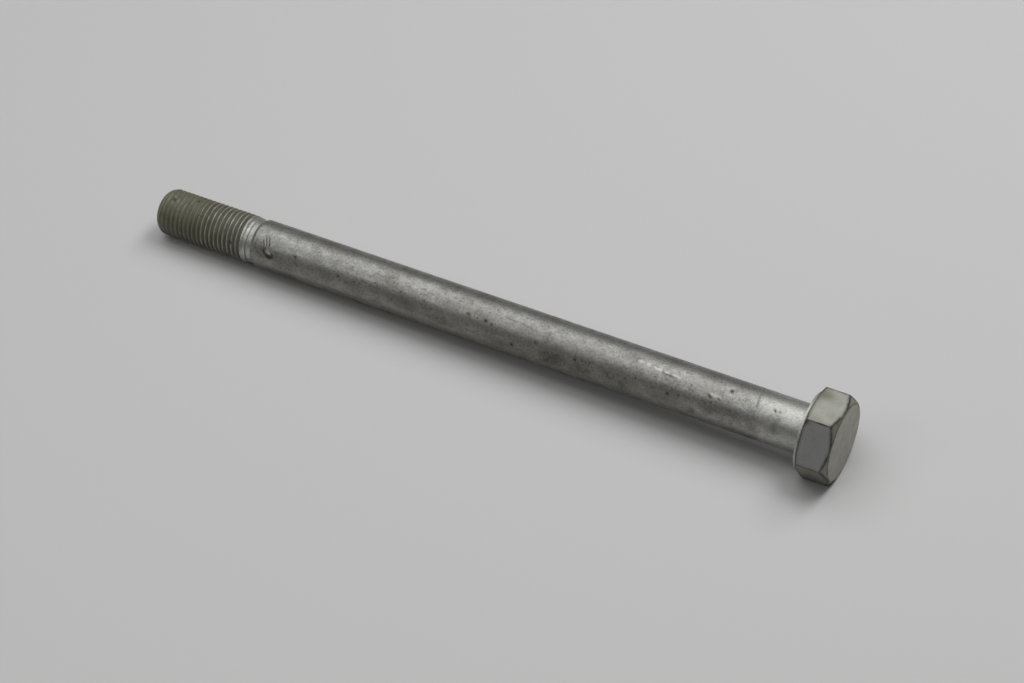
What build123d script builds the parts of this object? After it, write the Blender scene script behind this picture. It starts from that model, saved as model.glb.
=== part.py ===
from build123d import *

import os
from math import atan2, cos, degrees, radians, tan

# Hexagon-head bolt with an M12 x 1.25 fine thread, made in one piece: a forged head on a
# washer face, a plain shank, and a right-hand thread rolled between a rounded point and a
# short neck.
#
# It is modelled along its own axis Z: the bearing face at z = 0, the head above it and the
# tip below. Lengths are in millimetres and angles in degrees. At the end it is laid down as
# it comes to rest, on one flat of the head and on the crests of the thread.

# Head
across_flats = 19.0
head_height = 8.2                 # bearing face to end face
end_face_diameter = 18.3          # flat left inside the turned-off corners
end_cone_angle = 37.0             # corner cone against the end face
washer_face_diameter = 18.7
washer_face_height = 0.75
bearing_side_diameter = 20.0      # left flat inside the corner cone on the bearing side
bearing_cone_angle = 23.0         # that cone against the bearing face
underhead_chamfer = 0.5           # both ways, in the corner under the head

# Shank
under_head_length = 172.0         # bearing face to tip
shank_diameter = 11.8
shoulder_angle = 35.0             # slope from the neck up to the shank
shoulder_radius = 1.0             # rounding where that slope meets the shank

# Thread: the groove is cut to the proportions of the metric profile
major_diameter = 11.8
pitch = 1.25
flank_angle = 60.0                # between the two flanks
crest_flat = pitch / 8
groove_depth = 0.6134 * pitch
pitch_diameter = major_diameter - 0.6495 * pitch
full_thread_length = 23.75        # tip to where the groove starts to climb out
runout_turns = 3.0                # turns it would take to climb out, were there no neck
neck_length = 1.3                 # plain neck before the shoulder, at the pitch diameter
crest_fade_length = 2.4           # last crests, sloping down to the neck
thread_length = 28.05             # tip to the shoulder
tip_radius = 2.95                  # rounding of the point

# Radii and heights that follow
shank_radius = shank_diameter / 2
major_radius = major_diameter / 2
neck_radius = pitch_diameter / 2
root_radius = major_radius - groove_depth
end_face_radius = end_face_diameter / 2
bearing_side_radius = bearing_side_diameter / 2
flank_slope = tan(radians(flank_angle / 2))
tip = -under_head_length
shoulder_foot = tip + thread_length
full_thread_end = tip + full_thread_length


def turned(corners, radii):
    """A solid turned about Z, from (radius, height) corners and the rounding of each."""
    points = [(radius, 0, height) for radius, height in corners]
    return revolve(make_face(FilletPolyline(*points, radius=radii, close=True)), Axis.Z)


def groove_cutter(path, climb=0.0):
    """The groove between two crests, swept along a helix that rises out by `climb`."""
    clearance = 0.05 * pitch + climb
    half_mouth = (pitch - crest_flat) / 2
    outer = half_mouth + clearance * flank_slope
    inner = half_mouth - groove_depth * flank_slope
    corners = [(clearance, -outer), (clearance, outer), (-groove_depth, inner), (-groove_depth, -inner)]
    axial_plane = Plane(path @ 0, x_dir=(1, 0, 0), z_dir=(0, 1, 0))
    return sweep(axial_plane * Polygon(*corners, align=None), path, is_frenet=True)


def thread():
    """The threaded end: a rod with the groove cut in it, then its point and neck turned."""
    turns = int(full_thread_length / pitch) + 2
    turn = groove_cutter(Helix(pitch, pitch, major_radius))
    rod_height = thread_length + pitch
    rod = Pos(0, 0, tip - pitch + rod_height / 2) * Cylinder(major_radius, rod_height)
    rod -= [Pos(0, 0, full_thread_end - (n + 1) * pitch) * turn for n in range(turns)]

    climb = 1.05 * groove_depth
    height = runout_turns * pitch
    runout = Helix(pitch, height, major_radius, cone_angle=degrees(atan2(climb, height)))
    rod -= Pos(0, 0, full_thread_end) * groove_cutter(runout, climb)

    neck_start = shoulder_foot - neck_length
    corners = [
        (0, tip),
        (major_radius, tip),
        (major_radius, neck_start - crest_fade_length),
        (neck_radius, neck_start),
        (neck_radius, shoulder_foot),
        (0, shoulder_foot),
    ]
    return rod & turned(corners, [0, tip_radius, 0, 0, 0, 0])


def shank():
    """The plain shank, from the shoulder to the washer face under the head."""
    shoulder_height = (shank_radius - neck_radius) / tan(radians(shoulder_angle))
    washer_face_radius = washer_face_diameter / 2
    corners = [
        (0, shoulder_foot),
        (neck_radius, shoulder_foot),
        (shank_radius, shoulder_foot + shoulder_height),
        (shank_radius, -underhead_chamfer),
        (shank_radius + underhead_chamfer, 0),
        (washer_face_radius, 0),
        (washer_face_radius, washer_face_height),
        (0, washer_face_height),
    ]
    return turned(corners, [0, 0, shoulder_radius, 0, 0, 0, 0, 0])


def head():
    """The hexagon above the washer face, with its corners turned off to a cone at each end."""
    hexagon_height = head_height - washer_face_height
    outline = RegularPolygon(across_flats / 2, 6, major_radius=False, rotation=30)
    hexagon = Pos(0, 0, washer_face_height) * extrude(outline, hexagon_height)
    reach = 1.05 * across_flats / 2 / cos(radians(30))
    corners = [
        (0, washer_face_height),
        (bearing_side_radius, washer_face_height),
        (reach, washer_face_height + (reach - bearing_side_radius) * tan(radians(bearing_cone_angle))),
        (reach, head_height - (reach - end_face_radius) * tan(radians(end_cone_angle))),
        (end_face_radius, head_height),
        (0, head_height),
    ]
    return hexagon & turned(corners, [0, 0, 0, 0, 0, 0])


def rest_tilt():
    """Angle of the axis to the floor when the head's lower flat and the first crests touch it."""
    head_contact = washer_face_height
    thread_contact = tip + tip_radius
    return degrees(atan2(across_flats / 2 - major_radius, head_contact - thread_contact))


bolt = thread() + shank() + head()
bolt = Rot(0, 90 - rest_tilt(), 0) * bolt

os.makedirs("parts", exist_ok=True)
export_step(bolt, "parts/bolt.step")
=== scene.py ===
from math import asin, atan2, ceil, cos, degrees, exp, hypot, pi, radians, sin, sqrt, tan

import bmesh
import bpy
from mathutils import Matrix, Vector, noise


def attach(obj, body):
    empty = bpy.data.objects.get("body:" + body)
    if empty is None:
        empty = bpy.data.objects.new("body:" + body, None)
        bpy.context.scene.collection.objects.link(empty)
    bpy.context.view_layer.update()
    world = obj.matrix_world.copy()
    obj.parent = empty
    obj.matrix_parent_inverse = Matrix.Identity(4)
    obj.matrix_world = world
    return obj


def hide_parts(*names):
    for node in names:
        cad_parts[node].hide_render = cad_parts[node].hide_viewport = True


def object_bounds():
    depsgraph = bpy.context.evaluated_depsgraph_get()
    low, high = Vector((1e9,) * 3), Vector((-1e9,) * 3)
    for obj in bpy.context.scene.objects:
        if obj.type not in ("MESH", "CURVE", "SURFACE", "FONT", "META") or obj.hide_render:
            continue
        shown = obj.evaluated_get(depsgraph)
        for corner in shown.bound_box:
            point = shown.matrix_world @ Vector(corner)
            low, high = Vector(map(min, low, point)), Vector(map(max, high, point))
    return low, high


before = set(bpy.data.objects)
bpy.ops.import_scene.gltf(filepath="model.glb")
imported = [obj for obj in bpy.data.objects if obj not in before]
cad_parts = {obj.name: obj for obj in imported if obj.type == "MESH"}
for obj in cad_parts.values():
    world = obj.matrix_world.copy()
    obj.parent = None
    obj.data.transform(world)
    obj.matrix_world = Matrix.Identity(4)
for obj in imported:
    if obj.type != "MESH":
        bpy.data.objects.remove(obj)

# A used hexagon-head bolt, M12 x 1.25: head, washer face, plain shank and rolled thread in
# one piece of dull zinc-plated steel, with grime in the thread and knocks on the shank.
#
# The sizes are in millimetres along the bolt's own axis X: the bearing face under the head at
# x = 0, the head toward +X and the tip toward -X. "reach" is a distance from the tip, and
# "around" an angle about the axis in degrees, from the top (+Z) toward the front (-Y). The
# finished mesh is scaled to metres and laid at the slope at which the bolt rests.

cad_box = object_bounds()
floor_height = cad_box[0][2]        # in metres, as the box is

# Head
across_flats = 19.0
head_height = 8.2
end_face_radius = 9.15
end_cone_angle = radians(37)
washer_face_radius = 9.35
washer_face_height = 0.75
bearing_side_radius = 10.0
bearing_cone_angle = radians(23)
underhead_radius = 0.6              # fillet between the shank and the head
edge_softening = 0.22               # cut off each side of the head's edges

# Shank
shank_radius = 5.9
under_head_length = 172.0
shoulder_angle = radians(35)
shoulder_radius = 1.0

# Thread, with its places measured from the tip
pitch = 1.25
open_depth = 0.48                   # of the groove, above the grime packed in its root
neck_radius = shank_radius - 0.6495 * pitch / 2
full_thread_length = 23.75
runout_start = 25.1
runout_slope = 0.3                  # how steeply the groove climbs out
crest_fade_start = 24.35
crest_fade_end = 26.75
last_crest_radius = 5.62
last_crest_step = 0.15              # length of the drop from the last crest to the neck
thread_length = 28.05
tip_radius = 2.95
strip_start = 0.90                  # where the wound strip takes over from the point
strip_end = 27.30                   # and where the plain neck takes over from it

# Mesh
columns = 120                       # faces round the bolt
ring_spacing = 0.35                 # between the rings of the shank
cell_size = 0.45                    # of the head's faces
crease_angle = radians(38)          # edges sharper than this stay crisp

# Patterns of the finish: how wide or how far apart each thing that they draw is
cloud_size = 9.0
mottle_size = 2.2
grain_size = 0.52
streak_width = 0.8
fleck_spacing = 1.5

# Following from these
apothem = across_flats / 2
half_flat = apothem * tan(radians(30))
tip = -under_head_length
rest_slope = atan2(apothem - shank_radius, washer_face_height - (tip + tip_radius))


def ring_point(x, radius, around):
    """A point on the bolt, from its place along the axis, radius and angle from the top."""
    angle = radians(around)
    return Vector((x, -radius * sin(angle), radius * cos(angle)))


def smooth(low, high, value):
    """0 at low, 1 at high and an even S between; it falls where low is the greater."""
    share = min(1.0, max(0.0, (value - low) / (high - low)))
    return share * share * (3 - 2 * share)


def all_of(bm):
    """Everything in a mesh, as the cutting operators take it."""
    return bm.verts[:] + bm.edges[:] + bm.faces[:]


# ---- The thread --------------------------------------------------------------------------

def thread_limit(reach):
    """Radius of the turned blank at a distance from the tip: point, crests, fade and neck."""
    if reach < tip_radius:
        return shank_radius - tip_radius + sqrt(max(0.0, tip_radius**2 - (tip_radius - reach) ** 2))
    last_crest = crest_fade_end - last_crest_step
    if reach > last_crest:
        drop = smooth(last_crest, crest_fade_end, reach)
        return last_crest_radius + drop * (neck_radius - last_crest_radius)
    fade = max(0.0, (reach - crest_fade_start) / (last_crest - crest_fade_start))
    return shank_radius + fade * (last_crest_radius - shank_radius)


def groove_rise(reach):
    """How far the groove has climbed out of the steel in the run-out."""
    return runout_slope * max(0.0, reach - runout_start)


def skin_change(point, reach, radius):
    """What wear takes off the crests, and what packed grime adds in the root."""
    if radius > shank_radius - 0.1:
        return 0.03 * noise.noise(point * 0.9) - 0.02
    if radius < shank_radius - 0.2:
        return 0.10 * noise.noise(point * 0.35) + 0.15 * smooth(13, 4, reach)
    return 0.0


def make_thread(bm):
    """The thread from the point to the neck, as one strip wound round the axis."""
    half = pitch / 2
    # half of the groove: the place along the axis from its root, and the share of the depth
    groove = [(0.0, 1.0), (0.17, 0.86), (0.30, 0.56), (0.42, 0.25), (0.53, 0.05), (half, 0.0)]
    section = [(-x, depth) for x, depth in groove[:0:-1]] + groove
    turns = ceil(strip_end / pitch) + 1
    # the groove's root passes the underside here, as it does in the solid
    start = tip + full_thread_length - pitch * round(full_thread_length / pitch)
    points = [ring_point(start + x, shank_radius - depth * open_depth, 180) for x, depth in section]
    verts = [bm.verts.new(point) for point in points]
    edges = [bm.edges.new(pair) for pair in zip(verts, verts[1:])]
    # the turn isn't merged, because it ends a pitch away from its start
    bmesh.ops.spin(
        bm, geom=verts + edges, cent=(0, 0, 0), axis=(1, 0, 0), dvec=(pitch / columns, 0, 0),
        angle=2 * pi, steps=columns, use_merge=False, use_duplicate=False,
    )
    one_turn = all_of(bm)
    for turn in range(1, turns):
        copied = bmesh.ops.duplicate(bm, geom=one_turn)["geom"]
        shifted = [item for item in copied if isinstance(item, bmesh.types.BMVert)]
        bmesh.ops.translate(bm, verts=shifted, vec=(turn * pitch, 0, 0))
    bmesh.ops.remove_doubles(bm, verts=bm.verts, dist=0.002)
    for vert in bm.verts:
        reach = vert.co.x - tip
        radius = vert.co.yz.length
        wanted = radius + groove_rise(reach) + skin_change(vert.co, reach, radius)
        vert.co.yz = vert.co.yz * (min(thread_limit(reach), wanted) / radius)
    for place, side in ((tip + strip_start, -1), (tip + strip_end, 1)):
        bmesh.ops.bisect_plane(
            bm, geom=all_of(bm), dist=0.0005, plane_co=(place, 0, 0), plane_no=(side, 0, 0),
            clear_outer=True,
        )
    bmesh.ops.remove_doubles(bm, verts=bm.verts, dist=0.004)


def open_edges(bm, x):
    """The free edges of the opening at a place along the axis."""
    return [e for e in bm.edges if e.is_boundary and all(abs(v.co.x - x) < 0.01 for v in e.verts)]


def extrude_ring(bm, edges, x, radius):
    """Draws an opening's edges out to a new place and radius, and gives the new edges."""
    made = bmesh.ops.extrude_edge_only(bm, edges=edges)["geom"]
    for vert in (item for item in made if isinstance(item, bmesh.types.BMVert)):
        vert.co = Vector((x, 0, 0)) + Vector((0, *vert.co.yz.normalized())) * radius
    return [item for item in made if isinstance(item, bmesh.types.BMEdge)]


def make_point(bm):
    """The rounded point, from the wound strip out to the flat in its middle."""
    edges = open_edges(bm, tip + strip_start)
    start = asin((tip_radius - strip_start) / tip_radius)
    steps = 10
    for step in range(1, steps + 1):
        angle = start + (pi / 2 - start) * step / steps
        radius = shank_radius - tip_radius + tip_radius * cos(angle)
        edges = extrude_ring(bm, edges, tip + tip_radius * (1 - sin(angle)), radius)
    for radius in (2.6, 2.2, 1.8, 1.4, 1.0, 0.6, 0.3):
        edges = extrude_ring(bm, edges, tip, radius)
    bmesh.ops.contextual_create(bm, geom=edges)


# ---- The head ----------------------------------------------------------------------------

def cut_cone(bm, x, radius, slope, side):
    """Turns the corners off to a cone, one narrow cut after another round the axis."""
    for step in range(columns):
        around = 360 * step / columns
        outward = Vector((side * cos(slope), *(ring_point(0, 1, around).yz * sin(slope))))
        cut = bmesh.ops.bisect_plane(
            bm, geom=all_of(bm), dist=1e-4, plane_co=ring_point(x, radius, around), plane_no=outward,
            clear_outer=True,
        )["geom_cut"]
        rim = [item for item in cut if isinstance(item, bmesh.types.BMEdge) and item.is_boundary]
        if rim:
            bmesh.ops.edgeloop_fill(bm, edges=rim)


def make_head(bm):
    """The hexagon, coned at both ends, with softened edges."""
    corner_radius = apothem / cos(radians(30))
    bmesh.ops.create_cone(
        bm, cap_ends=True, cap_tris=False, segments=6, depth=head_height - washer_face_height,
        radius1=corner_radius, radius2=corner_radius,
        matrix=Matrix.Translation(((head_height + washer_face_height) / 2, 0, 0))
        @ Matrix.Rotation(radians(90), 4, "Y"),
    )
    cut_cone(bm, head_height, end_face_radius, end_cone_angle, 1)
    cut_cone(bm, washer_face_height, bearing_side_radius, bearing_cone_angle, -1)
    bmesh.ops.remove_doubles(bm, verts=bm.verts, dist=0.01)
    bmesh.ops.recalc_face_normals(bm, faces=bm.faces)
    ridges = [e for e in bm.edges if len(e.link_faces) == 2 and e.calc_face_angle(0) > radians(12)]
    bmesh.ops.bevel(
        bm, geom=ridges, offset=edge_softening, offset_type="OFFSET", segments=3, profile=0.5,
        affect="EDGES", clamp_overlap=True, material=-1,
    )


def make_bearing_side(bm):
    """Opens the hexagon's under side and joins the raised washer face to it."""
    under = [f for f in bm.faces if f.normal.x < -0.999]
    bmesh.ops.delete(bm, geom=under, context="FACES_ONLY")
    outer = [e for e in bm.edges if e.is_boundary]
    ring = bmesh.ops.create_circle(
        bm, segments=columns, radius=washer_face_radius,
        matrix=Matrix.Translation((washer_face_height, 0, 0)) @ Matrix.Rotation(radians(90), 4, "Y"),
    )["verts"]
    inner = [e for e in bm.edges if e.verts[0] in ring and e.verts[1] in ring]
    bmesh.ops.bridge_loops(bm, edges=outer + inner)
    return inner


def make_shank(bm, edges):
    """The washer face, the fillet under the head, the shank and its shoulder, down to the neck."""
    washer_face = [
        (0.40, washer_face_radius), (0.12, washer_face_radius), (0.03, washer_face_radius - 0.03),
        (0.0, washer_face_radius - 0.12), (0.0, 8.5), (0.0, 7.6), (0.0, 7.0),
    ]
    fillet = [
        (-underhead_radius * (1 - cos(turn)), shank_radius + underhead_radius * (1 - sin(turn)))
        for turn in (radians(a) for a in (0, 22.5, 45, 67.5, 90))
    ]
    foot = tip + thread_length
    corner = foot + (shank_radius - neck_radius) / tan(shoulder_angle)
    shank_start = corner + shoulder_radius * tan(shoulder_angle / 2)
    shoulder = [
        (shank_start - shoulder_radius * sin(turn), shank_radius - shoulder_radius * (1 - cos(turn)))
        for turn in (shoulder_angle * share for share in (0, 0.25, 0.5, 0.75, 1.0))
    ]
    end = tip + strip_end
    neck = [
        (foot + 0.08, neck_radius + 0.055), (foot, neck_radius + 0.015), (foot - 0.12, neck_radius),
        (foot - 0.4, neck_radius), (end + 0.2, neck_radius), (end + 0.06, neck_radius),
    ]
    for x, radius in washer_face + fillet + shoulder + neck:
        edges = extrude_ring(bm, edges, x, radius)
    along_shank = [e for e in bm.edges if e.calc_length() > under_head_length / 2]
    cuts = round((-underhead_radius - shank_start) / ring_spacing)
    bmesh.ops.subdivide_edges(bm, edges=along_shank, cuts=cuts, use_grid_fill=True)


def hexagon_faces(bm):
    """The faces of the head above its washer face."""
    return [f for f in bm.faces if f.calc_center_median().x > washer_face_height + 0.01]


def score_head(bm):
    """Cuts the head's faces into small even cells, so that they can hold stains and edge grime."""
    for direction in (Vector((1, 0, 0)), Vector((0, 1, 0)), Vector((0, 0, 1))):
        places = [f.calc_center_median().dot(direction) for f in hexagon_faces(bm)]
        low, high = min(places), max(places)
        for step in range(1, round((high - low) / cell_size)):
            faces = hexagon_faces(bm)
            edges = list(dict.fromkeys(e for f in faces for e in f.edges))
            verts = list(dict.fromkeys(v for e in edges for v in e.verts))
            bmesh.ops.bisect_plane(
                bm, geom=verts + edges + faces, dist=0.03,
                plane_co=direction * (low + step * cell_size), plane_no=direction,
            )


# ---- Knocks, scratches, stains, grime, and painted shade and highlights --------------------

# Each knock: the line it follows, as (reach, around) points, its half width and depth in
# millimetres, and the shares of grime and of bare metal in it.
knocks = [
    # a hooked gouge behind the shoulder, with a pale lip inside it
    ([(31.9, 60), (32.2, 65), (32.9, 69.5), (33.6, 71.5), (34.3, 69), (34.4, 64)],
     0.38, 0.26, 0.9, 0.0),
    ([(33.1, 70.5), (33.7, 72), (34.3, 69.5)], 0.55, 0.34, 1.2, 0.0),
    ([(33.1, 60), (33.6, 64)], 0.50, 0.0, 0.0, 0.85),
    # the cuts of a chisel beside it
    ([(31.3, 36), (31.8, 47)], 0.20, 0.06, 0.60, 0.0),
    ([(31.7, 35), (32.2, 46)], 0.20, 0.0, 0.0, 0.8),
    ([(31.8, 28), (32.6, 47)], 0.20, 0.08, 0.70, 0.0),
    ([(32.2, 28), (33.0, 46)], 0.20, 0.0, 0.0, 0.9),
    ([(32.5, 27), (33.3, 46)], 0.20, 0.08, 0.70, 0.0),
    ([(32.9, 27), (33.7, 45)], 0.20, 0.0, 0.0, 0.7),
    ([(31.8, 50), (32.4, 55)], 0.45, 0.0, 0.35, 0.0),
    ([(30.2, 65), (30.7, 69)], 0.40, 0.05, 0.45, 0.0),
    ([(41.0, 64), (41.6, 67)], 0.40, 0.03, 0.35, 0.0),
    ([(29.6, 40), (29.4, 52), (29.8, 60)], 0.35, 0.0, 0.45, 0.0),
    # pits in the shank
    ([(40.7, 50)], 0.40, 0.06, 0.9, 0.0),
    ([(52.9, 59)], 0.40, 0.06, 0.9, 0.0),
    ([(92.4, 46)], 0.42, 0.10, 1.0, 0.0),
    ([(94.0, 50)], 0.35, 0.06, 0.8, 0.0),
    ([(99.9, 79)], 0.40, 0.05, 0.9, 0.0),
    ([(105.7, 56)], 0.36, 0.05, 0.9, 0.0),
    ([(116.1, 63)], 0.42, 0.05, 0.95, 0.0),
    ([(117.9, 60)], 0.30, 0.04, 0.8, 0.0),
    ([(118.6, 61)], 0.25, 0.04, 0.8, 0.0),
    ([(139.5, 67)], 0.42, 0.05, 0.9, 0.0),
    ([(142.2, 62)], 0.36, 0.05, 0.8, 0.0),
    ([(153.6, 15)], 0.46, 0.10, 0.9, 0.0),
    ([(164.4, 24), (164.7, 27)], 0.27, 0.05, 0.55, 0.0),
    ([(165.7, 25.5)], 0.27, 0.05, 0.50, 0.0),
    ([(149.0, 39), (149.5, 44)], 0.29, 0.05, 0.60, 0.0),
    ([(151.4, 40), (151.7, 43)], 0.26, 0.04, 0.42, 0.0),
    ([(87.4, 43), (88.1, 44)], 0.24, 0.03, 0.6, 0.0),
    ([(78.3, 60)], 0.28, 0.03, 0.7, 0.0),
    ([(67.8, 71)], 0.30, 0.03, 0.7, 0.0),
    # nicks along the top of the back
    ([(106.2, -33), (106.9, -34)], 0.28, 0.04, 0.40, 0.0),
    ([(109.6, -31), (110.9, -30)], 0.32, 0.05, 0.50, 0.0),
    ([(113.2, -29), (114.0, -30)], 0.34, 0.05, 0.50, 0.0),
    # scratches along the shank
    ([(59.2, 52), (63.8, 57)], 0.22, 0.02, 0.28, 0.0),
    ([(96.6, 22), (99.4, 24)], 0.22, 0.02, 0.30, 0.0),
    ([(100.6, 25), (104.0, 29)], 0.20, 0.02, 0.25, 0.0),
    ([(136.8, 26), (138.5, 27), (140.2, 28.5)], 0.20, 0.02, 0.40, 0.0),
    ([(135.0, 21), (136.4, 22)], 0.30, 0.0, 0.0, 0.8),
    ([(137.6, 23), (138.2, 23)], 0.30, 0.0, 0.0, 0.9),
    ([(139.6, 24), (141.4, 25)], 0.28, 0.0, 0.0, 0.7),
    ([(130.8, 17), (131.6, 17)], 0.30, 0.0, 0.0, 0.8),
    ([(133.0, 18), (133.5, 18)], 0.35, 0.0, 0.0, 0.9),
    ([(149.2, 36), (151.9, 38)], 0.28, 0.0, 0.0, 0.9),
    # rings rubbed into it by the parts that it held
    ([(159.6, -34), (159.8, -10), (160.1, 14), (160.3, 30)], 0.24, 0.02, 0.32, 0.0),
    ([(161.0, -30), (161.2, 0), (161.4, 30)], 0.22, 0.0, 0.0, 0.35),
    ([(78.2, 30), (78.4, 50), (78.6, 70)], 0.24, 0.0, 0.0, 0.2),
    ([(136.0, 34), (136.2, 60)], 0.24, 0.0, 0.16, 0.0),
    ([(136.7, 34), (136.9, 60)], 0.22, 0.0, 0.0, 0.2),
    # dark spots on the thread
    ([(22.4, 66), (22.6, 69)], 0.45, 0.05, 0.95, 0.0),
    ([(4.2, 11)], 0.55, 0.05, 0.9, 0.0),
    ([(10.0, -8)], 0.45, 0.05, 0.9, 0.0),
    ([(12.0, 30), (13.4, 31)], 0.35, 0.0, 0.5, 0.0),
]

# Brown stains: reach, around, half length and half width in millimetres, strength.
stains = [
    (72.4, 73, 4.5, 2.2, 0.6),
    (80.0, 80, 6.0, 2.4, 0.6),
    (87.0, 66, 5.0, 2.0, 0.35),
    (97.0, 86, 8.0, 2.2, 0.7),
    (108.0, 86, 26.0, 3.4, 0.58),
    (110.0, 45, 20.0, 3.0, 0.22),
    (107.8, 76, 2.8, 2.4, 0.70),
    (111.8, 82, 4.2, 2.6, 0.90),
    (115.2, 73, 2.6, 1.6, 0.50),
    (109.4, 92, 4.0, 1.6, 1.0),
    (111.2, 52, 2.6, 1.4, 0.65),
    (118.0, 85, 7.0, 2.8, 0.90),
    (124.5, 75, 5.0, 3.0, 0.85),
    (127.5, 87, 6.0, 2.6, 0.90),
    (129.8, 14, 3.0, 1.5, 0.45),
    (138.0, 80, 6.0, 2.2, 0.65),
    (145.6, 90, 2.0, 1.4, 0.6),
    (149.5, 73, 1.8, 1.3, 0.6),
    (160.4, 79, 1.6, 1.3, 0.6),
    (32.8, 58, 2.6, 2.0, 0.4),
    (46.0, 80, 7.0, 2.0, 0.35),
    (58.0, 72, 5.0, 2.4, 0.35),
    (17.0, 0, 7.0, 2.4, 0.55),
]

# Dark smudges, most in a line just below the gleam, where they also paint a band of shade,
# in the same way.
smudges_and_shade_band = [
    (165.4, 60, 1.5, 2.0, 0.80),
    (163.0, 52, 2.4, 1.8, 0.30),
    (155.5, 62, 3.0, 1.5, 0.30),
    (150.0, 60, 3.6, 1.2, 0.35),
    (139.0, 58, 5.0, 1.2, 0.35),
    (128.0, 48, 6.0, 1.3, 0.30),
    (118.0, 60, 4.0, 1.3, 0.30),
    (110.5, 74, 3.0, 1.8, 0.50),
    (104.0, 60, 5.0, 1.3, 0.30),
    (95.0, 58, 6.0, 1.2, 0.30),
    (84.0, 84, 5.0, 1.4, 0.35),
    (70.0, 58, 5.0, 1.5, 0.30),
    (52.0, 66, 6.0, 1.5, 0.30),
    (44.0, 60, 4.0, 1.6, 0.30),
    (36.5, 76, 4.0, 1.8, 0.40),
    (31.0, 64, 1.8, 2.6, 0.45),
]

soft_edge = 2.2                     # half widths within which a knock or a spot fades out
grime_spread = 1.5                  # grime fills a knock nearer to its rim than its depth does
top_flat, front_flat = 0, 1         # the head's flats, counted from the top toward the front


def fading(gap, width):
    """1 where there is no gap, falling softly to 0 within two or three widths."""
    return exp(-((gap / width) ** 2))


def offset(reach, around, other_reach, other_around):
    """From another place on the bolt's skin to this one, in millimetres along and round it."""
    turn = (around - other_around + 180) % 360 - 180
    return Vector((reach - other_reach, radians(turn) * shank_radius))


def distance_to_line(reach, around, line):
    """Distance in the skin from a place to a line of (reach, around) points."""
    nearest = offset(reach, around, *line[0]).length
    for (reach_1, around_1), (reach_2, around_2) in zip(line, line[1:]):
        here = offset(reach, around, reach_1, around_1)
        along = offset(reach_2, around_2, reach_1, around_1)
        share = min(1.0, max(0.0, here.dot(along) / along.length_squared))
        nearest = min(nearest, (here - along * share).length)
    return nearest


def spot(reach, around, place):
    """1 in the middle of a soft spot, fading to 0 at a ragged edge."""
    other_reach, other_around, length, width, strength = place
    along, side = offset(reach, around, other_reach, other_around)
    if abs(along) > soft_edge * length or abs(side) > soft_edge * width:
        return 0.0
    ragged = 1 + 0.7 * noise.noise(Vector((reach * 0.8, around * 0.08, 3.0)))
    return strength * exp(-1.4 * ((along / length) ** 2 + (side / width) ** 2) * ragged)


def knocked(reach, around):
    """How deep the knocks go at a place on the skin, and the grime and bare metal in them."""
    sunk = grime_and_shade = bare_and_highlight = 0.0
    for line, width, depth, dark, bright in knocks:
        if not line[0][0] - 2 < reach < line[-1][0] + 3:
            continue
        gap = distance_to_line(reach, around, line) / width
        if gap < soft_edge:
            force = exp(-1.1 * gap * gap)
            sunk = max(sunk, depth * force)
            grime_and_shade = max(grime_and_shade, min(1.0, grime_spread * dark * force))
            bare_and_highlight = max(bare_and_highlight, bright * force)
    return sunk, grime_and_shade, bare_and_highlight


def weather_thread(point, reach, radius, around, bare_and_highlight):
    """Grime, bare metal with a painted highlight on the crests, and olive film on the thread,
    given what the knocks have bared.
    """
    depth = (thread_limit(reach) - radius) / open_depth
    # the crests, rubbed bare, and brightest a little in front of the top, where the lamps'
    # highlight falls: a painted highlight
    rubbed_and_highlit = smooth(11.0, 15.0, reach) * (0.55 + 0.45 * cos(radians(around - 30)))
    patchy = 0.75 + 0.9 * noise.noise(point * 0.6)
    bare_and_highlight = max(bare_and_highlight, (0.10 + 0.52 * rubbed_and_highlit) * patchy * smooth(0.16, 0.02, depth))
    # the groove, cleaner in a patch on top
    top_patch = spot(reach, around, (6.0, -5, 8.0, 4.0, 1.0))
    cloudy = noise.noise(point * 0.30)
    in_groove = (0.64 - 0.35 * top_patch + 0.30 * cloudy) * smooth(0.08, 0.70, depth)
    # clots over both, thickest toward the tip
    caked = 0.08 + 0.18 * smooth(17, 8, reach)
    caked += 0.5 * max(0.0, noise.noise(point * 1.1)) + 0.4 * max(0.0, noise.noise(point * 2.6))
    caked *= smooth(25.2, 24.2, reach) * (1 - min(1.0, bare_and_highlight))
    olive = 0.95 - 0.15 * smooth(14.0, 22.0, reach) - 0.7 * smooth(24.9, 25.8, reach)
    return max(in_groove, caked), bare_and_highlight, olive


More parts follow.
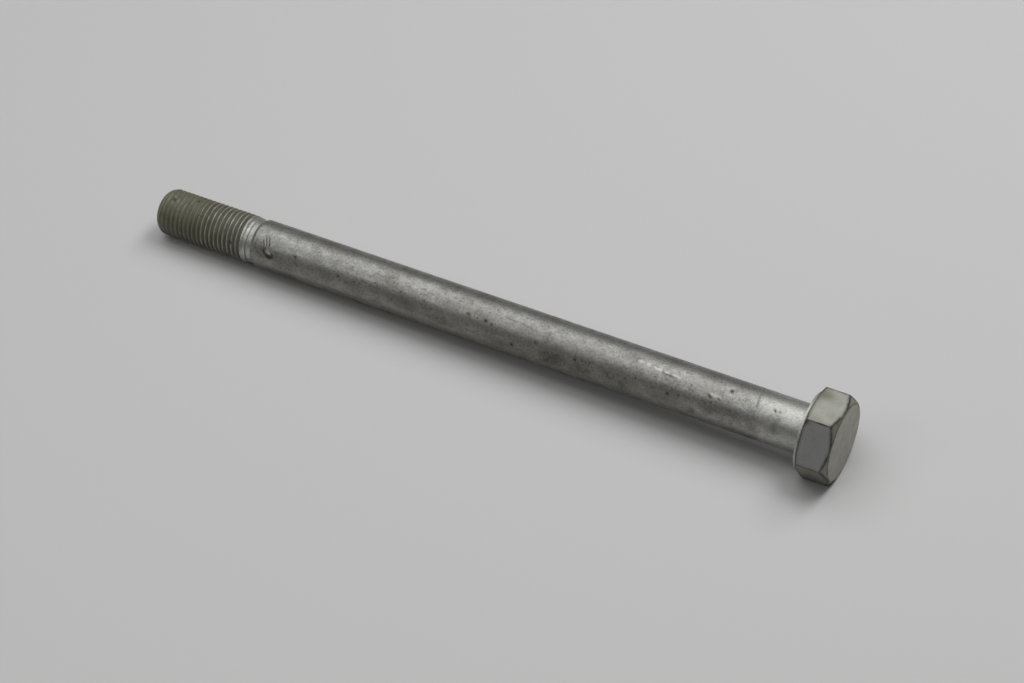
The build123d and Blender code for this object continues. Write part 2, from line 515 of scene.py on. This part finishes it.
def weather_shank(point, reach, radius, around):
    """Depth of the knocks, grime and painted shade, bare metal and painted highlights, rust and
    films at a place on shank or thread.
    """
    sunk, grime_and_shade, bare_and_highlight = knocked(reach, around)
    # the underside, dirtier all along, and its grime also a painted shade where it faces the
    # shadow on the floor
    under = smooth(86, 118, around) * smooth(235, 205, around % 360)
    rust = max(spot(reach, around, place) for place in stains)
    rust = max(rust, (0.25 + 0.5 * noise.noise(point * 0.25)) * under)
    # painted shade as well as grime, darkening the underside
    grime_and_shade = max(grime_and_shade, (0.45 + 0.3 * noise.noise(point * 0.5)) * under)
    # the smudges, partly painted shade in a band below the gleam
    grime_and_shade = max(grime_and_shade, 0.8 * max(spot(reach, around, place) for place in smudges_and_shade_band))
    olive = 0.12 + 0.40 * under
    if reach <= 0.8:
        olive = 0.85
    elif reach < crest_fade_end:
        thread_grime, bare_and_highlight, olive = weather_thread(point, reach, radius, around, bare_and_highlight)
        grime_and_shade = max(grime_and_shade, thread_grime)
    if crest_fade_end - 1.0 < reach < thread_length + 0.4:
        # the neck, rubbed bright between two dark rings: painted shade in the step down from the
        # last crest, and grime with painted shade at the foot of the shoulder
        bare_and_highlight = max(bare_and_highlight, 0.50 * smooth(25.5, 25.8, reach))
        grime_and_shade = max(grime_and_shade, 0.85 * fading(reach - 26.68, 0.12), 0.9 * fading(reach - 28.22, 0.16))
    if point.x > -16:
        # cleaner near the head, its bright bare metal partly a painted highlight for the broad
        # gleam there, with grime in the fillet and a bright rim on the washer face
        bare_and_highlight = max(bare_and_highlight, 0.45 * smooth(-14.0, -7.0, point.x), 0.8 * smooth(9.1, 9.2, radius))
        grime_and_shade = max(grime_and_shade, 0.8 * smooth(-0.9, -0.1, point.x) * smooth(7.2, 6.7, radius))
    return sunk, grime_and_shade, bare_and_highlight, rust, (olive, 0.0, 0.0, 0.0)


def weather_head(point, radius, around):
    """The same for the head, where grime sits along the edges and each face has its own tone,
    with painted shade in the washer face's corner and low on the head.
    """
    if radius < washer_face_radius + 0.05 and point.x < washer_face_height:
        # the washer face's rim, bright, with painted shade in the corner where it meets the hexagon
        return 0.0, 0.95 * smooth(0.30, 0.60, point.x), 0.7, 0.0, (0.0, 0.0, 0.0, 0.0)
    turn = radians((around + 30) % 60 - 30)
    side, out = radius * sin(turn), radius * cos(turn)
    rim = hypot(apothem, side)
    end_cut = head_height - (rim - end_face_radius) * tan(end_cone_angle)
    bearing_cut = washer_face_height + max(0.0, rim - bearing_side_radius) * tan(bearing_cone_angle)
    face = round(around / 60) % 6
    on_flat = bearing_cut < point.x < end_cut
    # the grime along each edge: strength, width and distance to the edge
    edges = [
        (1.35, 0.40, hypot(point.x - end_cut, apothem - out)),
        (1.20, 0.38, hypot(point.x - bearing_cut, apothem - out)),
        (0.75, 0.22, hypot(point.x - head_height, radius - end_face_radius)),
    ]
    if on_flat and not (face == top_flat and side > 0):
        edges.append((1.10, 0.34, half_flat - abs(side)))
    uneven = 0.85 + 0.5 * noise.noise(point * 0.7)
    grime_and_shade = max(strength * uneven * fading(gap, width) for strength, width, gap in edges)
    rust = olive = slate = beige = pale = 0.0
    cloudy = noise.noise(point * 0.35)
    if point.x > head_height - 0.02:
        beige, olive = 0.80 + 0.5 * cloudy, 0.22 - 0.6 * cloudy
    elif not on_flat:
        olive, beige = 0.75, 0.35
    elif face == top_flat:
        pale = 0.9
        olive = 0.12 + 0.5 * cloudy + 0.65 * fading(point.x - 1.8, 2.2) * fading(side + 3.4, 2.4)
        worn_edge = fading(half_flat - side, 0.75)
        beige = max(0.35 * fading(point.x - 1.5, 1.2) * smooth(-2.0, 1.0, side), 0.9 * worn_edge)
        grime_and_shade = max(grime_and_shade, 0.32 * worn_edge)
    elif face == front_flat:
        slate = 0.9 + 0.3 * cloudy
        rust = 0.9 * fading(point.x - 1.4, 0.9) * fading(side + half_flat - 0.7, 0.8)
        olive = 0.6 * fading(half_flat - side, 0.5)
    else:
        olive, slate = 0.60 + 0.4 * cloudy, 0.30
        # painted shade: these faces darker toward the bottom of the head
        grime_and_shade = max(grime_and_shade, 0.45 * smooth(-1.0, -9.0, point.z))
    return 0.0, min(1.0, grime_and_shade), 0.0, rust, (olive, slate, beige, pale)


def weather(mesh):
    """Presses the knocks in, and notes what lies on the skin, with painted light, as two colours on its
    points.

    "film" holds the olive, slate, beige and pale films, and the other colour grime and painted
    shade, bare metal and painted highlights, and rust.
    """
    wear_and_painted_light = mesh.color_attributes.new("wear_and_painted_light", "FLOAT_COLOR", "POINT")
    film = mesh.color_attributes.new("film", "FLOAT_COLOR", "POINT")
    for vert in mesh.vertices:
        point = vert.co.copy()
        radius = point.yz.length
        around = degrees(atan2(-point.y, point.z))
        if point.x > 0.2:
            sunk, grime_and_shade, bare_and_highlight, rust, films = weather_head(point, radius, around)
        else:
            sunk, grime_and_shade, bare_and_highlight, rust, films = weather_shank(point, point.x - tip, radius, around)
        if sunk:
            vert.co.yz = point.yz * ((radius - sunk) / radius)
        wear_and_painted_light.data[vert.index].color = (grime_and_shade, bare_and_highlight, rust, 1.0)
        film.data[vert.index].color = films


def mesh_object(name, bm):
    """A mesh made into an object that stands in the scene."""
    mesh = bpy.data.meshes.new(name)
    bm.to_mesh(mesh)
    bm.free()
    thing = bpy.data.objects.new(name, mesh)
    bpy.context.scene.collection.objects.link(thing)
    return thing


def make_bolt():
    """The whole bolt as one closed skin, weathered, scaled to metres and laid down."""
    bm = bmesh.new()
    make_thread(bm)
    make_point(bm)

    head = bmesh.new()
    make_head(head)
    make_shank(head, make_bearing_side(head))
    score_head(head)
    spare = bpy.data.meshes.new("head")
    head.to_mesh(spare)
    head.free()
    bm.from_mesh(spare)
    bpy.data.meshes.remove(spare)

    joint = [e for e in bm.edges if e.is_boundary]
    bmesh.ops.bridge_loops(bm, edges=joint)
    bmesh.ops.recalc_face_normals(bm, faces=bm.faces)
    for face in bm.faces:
        face.smooth = True
    for edge in bm.edges:
        edge.smooth = edge.calc_face_angle(0) < crease_angle
    bolt = mesh_object("weathered_bolt", bm)
    weather(bolt.data)
    bolt.data.transform(Matrix.Rotation(-rest_slope, 4, "Y") @ Matrix.Scale(0.001, 4))
    return bolt


# ---- Finish ------------------------------------------------------------------------------

def linear(code):
    """An sRGB hex colour as linear red, green, blue and alpha."""
    values = [int(code[i:i + 2], 16) / 255 for i in (1, 3, 5)]
    return tuple(v / 12.92 if v <= 0.04045 else ((v + 0.055) / 1.055) ** 2.4 for v in values) + (1.0,)


def node(tree, kind, links=None, stops=(), **settings):
    """Adds a node with its settings, the stops of its ramp, and what feeds its inputs.

    An input is fed by a value, by a socket, or by a node, whose first output in use is taken.
    """
    made = tree.nodes.new(kind)
    for name, value in settings.items():
        setattr(made, name, value)
    for name, value in (links or {}).items():
        fed = made.inputs[name] if isinstance(name, int) else next(
            s for s in made.inputs if s.enabled and s.name == name)
        if isinstance(value, bpy.types.Node):
            value = next(s for s in value.outputs if s.enabled)
        if isinstance(value, bpy.types.NodeSocket):
            tree.links.new(value, fed)
        else:
            fed.default_value = value
    for count, (place, code) in enumerate(stops):
        band = made.color_ramp.elements
        stop = band[count] if count < 2 else band.new(place)
        stop.position = place
        stop.color = linear(code)
    return made


def zinc_plated_steel():
    """Dull zinc plating over steel, barrel plated and long in use.

    The plating gives a grey of fine cloudy grains with a soft broad gleam. The years have put a
    greenish film on the head and the thread, brown stains and grime in every hollow, and
    rubbing has bared the metal on the crests, the neck and the knocks. The grime colour also
    paints shade on the underside, in a band below the gleam, by the neck, in the washer face's
    corner and low on the head, and the bare metal colour paints highlights on the crests and
    near the head.
    """
    material = bpy.data.materials.new("dull zinc-plated steel")
    material.use_nodes = True
    tree = material.node_tree
    tree.nodes.clear()
    place = node(tree, "ShaderNodeTexCoord").outputs["Object"]
    # the point colours: grime with painted shade, bare metal with painted highlights, and rust
    wear_and_painted_light = node(tree, "ShaderNodeSeparateColor", {
        "Color": node(tree, "ShaderNodeAttribute", attribute_name="wear_and_painted_light")})
    grime_and_shade, bare_and_highlight, rust = wear_and_painted_light.outputs
    films = node(tree, "ShaderNodeAttribute", attribute_name="film")
    coloured = node(tree, "ShaderNodeSeparateColor", {"Color": films.outputs["Color"]})
    olive, slate, beige, pale = *coloured.outputs, films.outputs["Alpha"]

    # Patterns, each scaled from the size of what it draws, with 1000 mm to the metre. Real
    # plating's grain is too fine to show, so it is drawn coarser.
    cloud = node(tree, "ShaderNodeTexNoise", {
        "Vector": place, "Scale": 1000 / cloud_size, "Detail": 4.0, "Roughness": 0.6})
    mottle = node(tree, "ShaderNodeTexNoise", {
        "Vector": place, "Scale": 1000 / mottle_size, "Detail": 5.0, "Roughness": 0.72})
    grain = node(tree, "ShaderNodeTexNoise", {
        "Vector": place, "Scale": 1000 / grain_size, "Detail": 3.0, "Roughness": 0.65})
    drawn_out = node(tree, "ShaderNodeMapping", {"Vector": place, "Scale": (0.14, 1, 1)})
    streak = node(tree, "ShaderNodeTexNoise", {
        "Vector": drawn_out, "Scale": 1000 / streak_width, "Detail": 2.0, "Roughness": 0.5})
    fleck = node(tree, "ShaderNodeTexVoronoi", {"Vector": place, "Scale": 1000 / fleck_spacing})

    # The plating's own greys, then its bright grains, dull grains and bright streaks, and the
    # brownish cloud of handling: where each starts and is full in its pattern, and its share
    colour = node(tree, "ShaderNodeValToRGB", {"Fac": mottle}, stops=[
        (0.34, "#7e7e7c"), (0.50, "#929290"), (0.66, "#a3a3a1")])
    for pattern, start, full, share, code in (
        (grain, 0.40, 0.62, 0.26, "#c2c2c0"),
        (grain, 0.50, 0.34, 0.34, "#5c5b57"),
        (streak, 0.55, 0.75, 0.30, "#b9b9b4"),
        (cloud, 0.48, 0.68, 0.38, "#6f6c60"),
    ):
        amount = node(tree, "ShaderNodeMapRange", {
            "Value": pattern, "From Min": start, "From Max": full, "To Min": 0.0, "To Max": share})
        colour = node(tree, "ShaderNodeMix", {
            0: amount, "A": colour, "B": linear(code)}, data_type="RGBA")

    # The films of the point colours, a little broken, and how much they cover in all
    patchy = node(tree, "ShaderNodeMapRange", {
        "Value": mottle, "From Min": 0.35, "From Max": 0.62, "To Min": 0.80, "To Max": 1.0})
    coated = 0.0
    for film, code in ((pale, "#a4a59d"), (olive, "#6c6b53"), (slate, "#8d8c8c"), (beige, "#a09c8e")):
        amount = node(tree, "ShaderNodeMath", {0: film, 1: patchy}, operation="MULTIPLY", use_clamp=True)
        coated = node(tree, "ShaderNodeMath", {0: amount, 1: coated}, operation="MAXIMUM")
        colour = node(tree, "ShaderNodeMix", {
            0: amount, "A": colour, "B": linear(code)}, data_type="RGBA")

    # Dark flecks in some of the clouds, and none where a film covers the plating
    flecked = node(tree, "ShaderNodeMapRange", {
        "Value": fleck.outputs["Distance"], "From Min": 0.20, "From Max": 0.06,
        "To Min": 0.0, "To Max": 1.0})
    some = node(tree, "ShaderNodeMapRange", {
        "Value": cloud, "From Min": 0.44, "From Max": 0.56, "To Min": 0.0, "To Max": 0.8})
    clear = node(tree, "ShaderNodeMath", {0: 1.0, 1: coated}, operation="SUBTRACT", use_clamp=True)
    for amount in (some, clear):
        flecked = node(tree, "ShaderNodeMath", {0: flecked, 1: amount}, operation="MULTIPLY")

    # Rust, bare metal and grime of the point colours, with painted highlights in the bare metal
    # and painted shade in the grime: the pattern that breaks each up, where it starts and is full
    # in it, and the least that is left of it
    broken_up = []
    for amount, pattern, start, full, least in (
        (rust, mottle, 0.38, 0.56, 0.30),
        (bare_and_highlight, grain, 0.30, 0.55, 0.55),
        (grime_and_shade, mottle, 0.30, 0.60, 0.75),
    ):
        kept = node(tree, "ShaderNodeMapRange", {
            "Value": pattern, "From Min": start, "From Max": full, "To Min": least, "To Max": 1.0})
        broken_up.append(node(tree, "ShaderNodeMath", {0: kept, 1: amount}, operation="MULTIPLY"))
    rusted, rubbed_and_highlit, caked = broken_up
    # the dark grime colour also paints shade, and the pale bare metal colour paints highlights
    for amount, code in (
        (flecked, "#3a3730"), (rusted, "#493f2a"), (rubbed_and_highlit, "#c6c6c0"), (caked, "#26221a"),
    ):
        colour = node(tree, "ShaderNodeMix", {
            0: amount, "A": colour, "B": linear(code)}, data_type="RGBA")

    # Grime, with the painted shade in it, and rust are dull and no metal; the plating gleams unevenly
    soiled_and_shaded = node(tree, "ShaderNodeMath", {0: caked, 1: rusted}, operation="MAXIMUM")
    rough = node(tree, "ShaderNodeMapRange", {
        "Value": mottle, "From Min": 0.35, "From Max": 0.65, "To Min": 0.50, "To Max": 0.38})
    rough = node(tree, "ShaderNodeMath", {0: soiled_and_shaded, 1: 0.3, 2: rough}, operation="MULTIPLY_ADD")
    metallic = node(tree, "ShaderNodeMath", {0: coated, 1: -0.65, 2: 0.95}, operation="MULTIPLY_ADD")
    metallic = node(tree, "ShaderNodeMath", {
        0: soiled_and_shaded, 1: -0.75, 2: metallic}, operation="MULTIPLY_ADD", use_clamp=True)

    # The skin is a little uneven, in millimetres of height, and pitted at the flecks
    height = node(tree, "ShaderNodeMath", {0: streak, 1: 0.006}, operation="MULTIPLY")
    height = node(tree, "ShaderNodeMath", {0: mottle, 1: 0.016, 2: height}, operation="MULTIPLY_ADD")
    height = node(tree, "ShaderNodeMath", {0: flecked, 1: -0.03, 2: height}, operation="MULTIPLY_ADD")
    bump = node(tree, "ShaderNodeBump", {"Strength": 0.7, "Distance": 0.001, "Height": height})
    shader = node(tree, "ShaderNodeBsdfPrincipled", {
        "Base Color": colour, "Metallic": metallic, "Roughness": rough, "Normal": bump})
    node(tree, "ShaderNodeOutputMaterial", {"Surface": shader})
    return material


# ---- Floor, light and camera ---------------------------------------------------------------

lamp_height = 0.8                   # in metres


def studio_floor():
    """Plain pale grey paper under the bolt."""
    material = bpy.data.materials.new("pale grey studio paper")
    material.use_nodes = True
    shader = material.node_tree.nodes["Principled BSDF"]
    shader.inputs["Base Color"].default_value = linear("#c2c2c2")
    shader.inputs["Roughness"].default_value = 0.9
    shader.inputs["Specular IOR Level"].default_value = 0.1
    bm = bmesh.new()
    bmesh.ops.create_grid(bm, x_segments=1, y_segments=1, size=2.0)
    bmesh.ops.translate(bm, verts=bm.verts, vec=(0, 0, floor_height))
    paper = mesh_object("studio_floor", bm)
    paper.data.materials.append(material)


def soft_lamp(name, x, y, length, width, power):
    """An oblong soft lamp high over the bolt that faces straight down, in metres and watts."""
    lamp = bpy.data.lights.new(name, "AREA")
    lamp.shape = "RECTANGLE"
    lamp.size = length
    lamp.size_y = width
    lamp.energy = power
    thing = bpy.data.objects.new(name, lamp)
    thing.location = (x, y, lamp_height)
    bpy.context.scene.collection.objects.link(thing)


def light_and_camera():
    """Soft lamps high over the bolt, a pale room, and the camera."""
    scene = bpy.context.scene
    world = bpy.data.worlds.new("pale room")
    world.use_nodes = True
    background = world.node_tree.nodes["Background"]
    background.inputs["Color"].default_value = linear("#ffffff")
    background.inputs["Strength"].default_value = 0.080
    scene.world = world
    soft_lamp("broad_overhead", -0.40, 0.15, 0.9, 0.9, 3.85)
    soft_lamp("strip_behind_head", 0.20, 0.45, 0.3, 0.9, 5.2)
    soft_lamp("strip_in_front", -0.55, -0.75, 0.6, 0.3, 1.75)
    soft_lamp("patch_over_head", -0.08, -0.30, 0.3, 0.4, 0.75)
    lens = bpy.data.cameras.new("camera")
    lens.lens = 89.35
    lens.sensor_width = 36
    lens.clip_start = 0.01
    camera = bpy.data.objects.new("camera", lens)
    camera.location = (0.13070, -0.37310, 0.40969)
    camera.rotation_euler = (radians(45.714), radians(0.781), radians(28.124))
    scene.collection.objects.link(camera)
    scene.camera = camera
    scene.view_settings.view_transform = "Standard"


light_and_camera()
studio_floor()
bolt = make_bolt()
bolt.data.materials.append(zinc_plated_steel())
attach(bolt, "root")
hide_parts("bolt")
